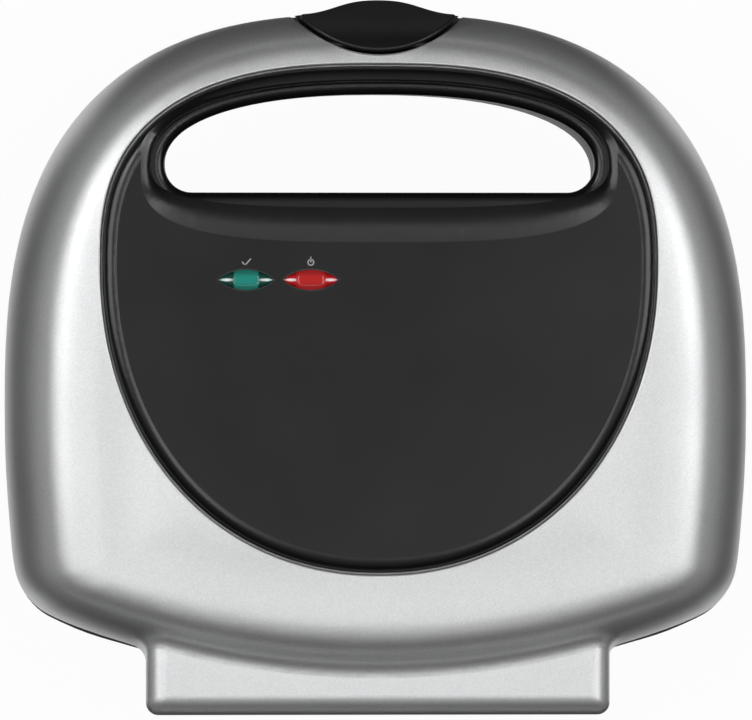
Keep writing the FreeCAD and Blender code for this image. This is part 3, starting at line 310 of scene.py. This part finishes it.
cadFinish = {
    "black_matte": "baseBlack", "black_gloss": "panelBlack", "silver_paint": "silverPaint",
    "nonstick": "nonStick", "steel": "plainSteel", "element_steel": "heatedSteel",
    "bright_aluminium": "rolledAluminium", "green_lens": "greenLens", "red_lens": "redLens",
    "lamp_glass": "lampGlass", "foot_rubber": "footRubber", "ceramic": "paleCeramic",
}
ownFinish = {"latch_clip": "latchBlack", "latch_pin": "blackSteel"}     # not their slot's usual finish
for row in frame["record"]["subparts"]:
    mesh = nodes[row["node"]].data
    mesh.materials.clear()
    mesh.materials.append(finishes[ownFinish.get(row["node"], cadFinish[row["material_slot"]])])
print("finishes on the CAD nodes")

ringCount = 192                                          # vertices round each pulled ring
mergeGap = 1e-6                                          # vertices nearer than this become one, in metres


def pullEdges(bm, edges):                                # new vertices and edges of an extruded loop
    made = bmesh.ops.extrude_edge_only(bm, edges=edges)["geom"]
    verts = [item for item in made if isinstance(item, bmesh.types.BMVert)]
    fresh = set(verts)
    edges = [item for item in made if isinstance(item, bmesh.types.BMEdge) and set(item.verts) <= fresh]
    return verts, edges


def placeRing(verts, angleOf, outline, height):
    for vert in verts:
        vert.co = (*outline(vert[angleOf]), height)


def pullRings(bm, sections):                             # closed ring through all the sections
    angleOf = bm.verts.layers.float.new("angle")         # kept by every ring that is pulled from the first
    verts = bmesh.ops.create_circle(bm, cap_ends=False, segments=ringCount, radius=1.0)["verts"]
    for vert in verts:
        vert[angleOf] = math.atan2(vert.co.y, vert.co.x)
    edges = list({edge for vert in verts for edge in vert.link_edges})
    placeRing(verts, angleOf, *sections[0])
    for section in sections[1:] + sections[:1]:
        verts, edges = pullEdges(bm, edges)
        placeRing(verts, angleOf, *section)


def finishPiece(name, bm, finish, body, slotName, *stoodFor, sharp=35.0):
    bmesh.ops.scale(bm, vec=(mm, mm, mm), verts=bm.verts)               # pieces are drawn in millimetres
    bmesh.ops.remove_doubles(bm, verts=bm.verts, dist=mergeGap)
    bmesh.ops.recalc_face_normals(bm, faces=bm.faces)
    mesh = bpy.data.meshes.new(name)
    bm.to_mesh(mesh)
    bm.free()
    mesh.shade_smooth()
    mesh.set_sharp_from_angle(angle=math.radians(sharp))
    mesh.materials.append(finishes[finish])
    piece = bpy.data.objects.new(name, mesh)
    scene.collection.objects.link(piece)
    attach(piece, body)
    if stoodFor:
        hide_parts(*stoodFor)
    print("piece", name, len(mesh.polygons), "faces")


lens = {
    "half": 8.8, "side": 3.1, "rimZ": 88.7, "crownZ": 89.4, "underZ": 85.8, "footZ": 84.8, "flange": 1.2,
    "facet": 3.9, "facetSink": 0.25, "facetFlat": 0.6, "facetSlope": 0.8, "tipPower": 4,
    "steps": (48, 12), "tipMerge": 1e-4, "sharp": 20.0,
}


def marquiseSide(x, half, side):                         # half width of the pointed oval at x from its middle
    radius = (half * half + side * side) / (2 * side)
    return max(0.0, math.sqrt(radius * radius - x * x) - radius + side)


def lensHeight(x, v):                                    # v goes from -1 to 1 across the lens
    rise = lens["crownZ"] - lens["rimZ"]
    if abs(x) < lens["facet"]:
        fall = max(0.0, abs(v) - lens["facetFlat"]) / lens["facetSlope"]
        return lens["crownZ"] - lens["facetSink"] - rise * fall
    return lens["rimZ"] + rise * (1 - v * v) * (1 - (abs(x) / lens["half"]) ** lens["tipPower"])


def buildLens(name, place, finish, slotName, stoodFor):
    bm = bmesh.new()
    half, side, flange = lens["half"], lens["side"], lens["flange"]
    bmesh.ops.create_grid(bm, x_segments=lens["steps"][0], y_segments=lens["steps"][1], size=1.0)
    for vert in bm.verts:
        x, v = vert.co.x * half, vert.co.y
        vert.co = (x, v * marquiseSide(x, half, side), lensHeight(x, v))
    bmesh.ops.remove_doubles(bm, verts=bm.verts, dist=lens["tipMerge"])
    grow = Matrix.Diagonal(((half + flange) / half, (side + flange) / side, 1.0))
    edges = [edge for edge in bm.edges if edge.is_boundary]
    for height, spreadOut in ((lens["underZ"], False), (lens["underZ"], True), (lens["footZ"], False)):
        verts, edges = pullEdges(bm, edges)
        for vert in verts:
            vert.co.z = height
            if spreadOut:
                vert.co = grow @ vert.co
    bmesh.ops.contextual_create(bm, geom=edges)          # flat underside
    bmesh.ops.translate(bm, vec=(*place, 0), verts=bm.verts)
    finishPiece(name, bm, finish, "lid", slotName, stoodFor, sharp=lens["sharp"])


rim = {"gap": 0.08, "width": 0.38, "lowZ": 88.38, "topZ": 88.62, "sharp": 60.0}


def buildLensRim(name, place):
    def outline(outset):
        half, side = lens["half"] + outset, lens["side"] + outset

        def at(angle):
            x = half * math.cos(angle)
            return place[0] + x, place[1] + math.copysign(marquiseSide(x, half, side), math.sin(angle))
        return at

    bm = bmesh.new()
    inner, outer = rim["gap"], rim["gap"] + rim["width"]
    middle = (inner + outer) / 2
    pullRings(bm, [
        (outline(inner), rim["lowZ"]), (outline(middle), rim["topZ"]), (outline(outer), rim["lowZ"]),
    ])
    finishPiece(name, bm, "rimGrey", "lid", "black_gloss", sharp=rim["sharp"])


sign = {                                                 # tick and bar in shares of the size
    "ahead": 5.5, "lowZ": 88.38, "topZ": 88.45, "stroke": 0.42, "size": 2.2,
    "tick": ((0.55, 0.0), (0.15, 0.4), (-0.6, -0.45)), "bar": ((0.0, -0.7), (0.0, -0.1)),
}


def addStrokes(bm, place, points):                       # printed lines from point to point
    points = [Vector(place) + Vector(point) * sign["size"] for point in points]
    thick = sign["topZ"] - sign["lowZ"]
    for start, end in zip(points, points[1:]):
        along, middle = end - start, (start + end) / 2
        made = bmesh.ops.create_cube(bm, size=1.0)["verts"]
        shape = Matrix.Diagonal((along.length + sign["stroke"], sign["stroke"], thick, 1.0))
        turn = Matrix.Rotation(math.atan2(along.y, along.x), 4, "Z")
        shift = Matrix.Translation((middle.x, middle.y, sign["lowZ"] + thick / 2))
        bmesh.ops.transform(bm, matrix=shift @ turn @ shape, verts=made)


def signPlace(lensName):
    x, y = lensPlace[lensName]
    return x, y - sign["ahead"]


def buildReadySign():                                    # plain tick mark
    bm = bmesh.new()
    addStrokes(bm, signPlace("ready"), sign["tick"])
    finishPiece("readySign", bm, "palePrint", "lid", "black_gloss")


def buildPowerSign():                                    # plain ring with a line through its top
    x, y = signPlace("power")

    def circle(radius):
        return lambda angle: (x + radius * math.cos(angle), y + radius * math.sin(angle))

    bm = bmesh.new()
    outer, inner = circle(sign["size"] / 2), circle(sign["size"] / 2 - sign["stroke"])
    low, top = sign["lowZ"], sign["topZ"]
    pullRings(bm, [(inner, low), (inner, top), (outer, top), (outer, low)])
    addStrokes(bm, (x, y), sign["bar"])
    finishPiece("powerSign", bm, "palePrint", "lid", "black_gloss")


buildLens("readyLens", lensPlace["ready"], "greenLens", "green_lens", "ready_lens")
buildLens("powerLens", lensPlace["power"], "redLens", "red_lens", "power_lens")
buildLensRim("readyRim", lensPlace["ready"])
buildLensRim("powerRim", lensPlace["power"])
buildReadySign()
buildPowerSign()
print("pieces ready")

stageSet = {
    "floorSize": (12.0, 12.0), "floorGrey": (0.85, 0.85, 0.85, 1), "floorWhite": 1.0, "shadowShare": 0.04,
    "skyWhite": (1, 1, 1, 1), "skySpan": (0.55, 0.97), "skyLevel": (0.02, 0.32),
    "flagHeight": 0.002, "lampAim": (0, 0, 0.05),
}
flags = {                                                # size and place of each dark card
    "frontFlag": ((1.6, 0.6), (0, -0.42)), "rearFlag": ((1.6, 0.6), (0, 0.42)),
    "leftFlag": ((0.5, 0.24), (0.40, 0)), "rightFlag": ((0.5, 0.24), (-0.40, 0)),
}
lamps = {                                                # place, size and radiance of each soft light
    "leftBox": ((1.25, -0.25, 1.25), (1.0, 0.9), 2.9),
    "rightBox": ((-1.25, -0.25, 1.25), (1.0, 0.9), 3.2),
    "leftStrip": ((0.5, 0.0, 2.0), (1.4, 0.14), 6.0),
    "rightStrip": ((-0.5, 0.0, 2.0), (1.4, 0.14), 5.0),
    "cornerBox": ((1.12, -0.78, 1.32), (0.3, 0.25), 11.0),
    "rearBox": ((0.0, 0.36, 2.0), (1.6, 0.22), 1.3),
}
shot = {
    "aim": (-0.00016, 0.00048, 0.042), "distance": 2.0, "leanX": 1.6, "leanY": 0.8,
    "lens": 299.2, "sensor": 36.0,
}


def stagePlane(name, size, place, material):
    bm = bmesh.new()
    bmesh.ops.create_grid(bm, x_segments=1, y_segments=1, size=0.5)     # a square of one metre
    bmesh.ops.scale(bm, vec=(*size, 1), verts=bm.verts)
    bmesh.ops.translate(bm, vec=place, verts=bm.verts)
    mesh = bpy.data.meshes.new(name)
    bm.to_mesh(mesh)
    bm.free()
    mesh.materials.append(material)
    plane = bpy.data.objects.new(name, mesh)
    scene.collection.objects.link(plane)
    return plane


def buildFloor():                                        # white to look at, with a faint shadow
    material = bpy.data.materials.new("paleFloor")
    material.use_nodes = True
    tree = material.node_tree
    tree.nodes.clear()
    out = addNode(tree, "ShaderNodeOutputMaterial")
    matte = addNode(tree, "ShaderNodeBsdfDiffuse", Color=stageSet["floorGrey"])
    glow = addNode(tree, "ShaderNodeEmission", Strength=stageSet["floorWhite"])
    paths = addNode(tree, "ShaderNodeLightPath")
    seen = mathNode(tree, "MAXIMUM", paths.outputs["Is Camera Ray"], paths.outputs["Is Glossy Ray"])
    seen = mathNode(tree, "MAXIMUM", seen, paths.outputs["Is Transmission Ray"])
    share = mathNode(tree, "MULTIPLY", seen, 1 - stageSet["shadowShare"])
    mix = addNode(tree, "ShaderNodeMixShader")
    for k, source in enumerate((share, matte.outputs[0], glow.outputs[0])):
        tree.links.new(source, mix.inputs[k])
    tree.links.new(mix.outputs[0], out.inputs["Surface"])
    stagePlane("floor", stageSet["floorSize"], (0, 0, 0), material)


def buildFlags():                                        # dark cards that the rolled edges mirror
    for name, (size, place) in flags.items():
        card = stagePlane(name, size, (*place, stageSet["flagHeight"]), finishes["flagBlack"])
        card.visible_camera = False
        card.visible_shadow = False


def buildWorld():                                        # soft sky, darker towards the horizon
    world = bpy.data.worlds.new("studio")
    world.use_nodes = True
    tree = world.node_tree
    sky = tree.nodes["Background"]
    sky.inputs["Color"].default_value = stageSet["skyWhite"]
    coords = addNode(tree, "ShaderNodeTexCoord")
    split = addNode(tree, "ShaderNodeSeparateXYZ")
    link(tree, coords, "Generated", split, "Vector")
    level = ramp(tree, split.outputs["Z"], *stageSet["skySpan"], *stageSet["skyLevel"])
    tree.links.new(level, sky.inputs["Strength"])
    scene.world = world


def buildLamps():
    for name, (place, size, radiance) in lamps.items():
        data = bpy.data.lights.new(name, "AREA")
        data.shape = "RECTANGLE"
        data.size, data.size_y = size
        data.energy = radiance * math.pi * size[0] * size[1]
        lamp = bpy.data.objects.new(name, data)
        lamp.location = place
        towards = Vector(stageSet["lampAim"]) - Vector(place)
        lamp.rotation_euler = towards.to_track_quat("-Z", "Y").to_euler()
        lamp.visible_camera = False
        scene.collection.objects.link(lamp)


def buildCamera():                                       # nearly straight down, with the front at the top
    data = bpy.data.cameras.new("camera")
    data.lens = shot["lens"]
    data.sensor_width = shot["sensor"]
    camera = bpy.data.objects.new("camera", data)
    lean = [math.tan(math.radians(shot[label])) for label in ("leanX", "leanY")]
    away = Vector((*lean, 1)).normalized()
    right = Vector((-1, 0, 0))
    right = (right - away * right.dot(away)).normalized()
    turn = Matrix((right, away.cross(right), away)).transposed()
    place = Vector(shot["aim"]) + away * shot["distance"]
    camera.matrix_world = Matrix.Translation(place) @ turn.to_4x4()
    scene.collection.objects.link(camera)
    scene.camera = camera


buildFloor()
buildFlags()
buildWorld()
buildLamps()
buildCamera()
scene.view_settings.view_transform = "Standard"
print("stage ready")
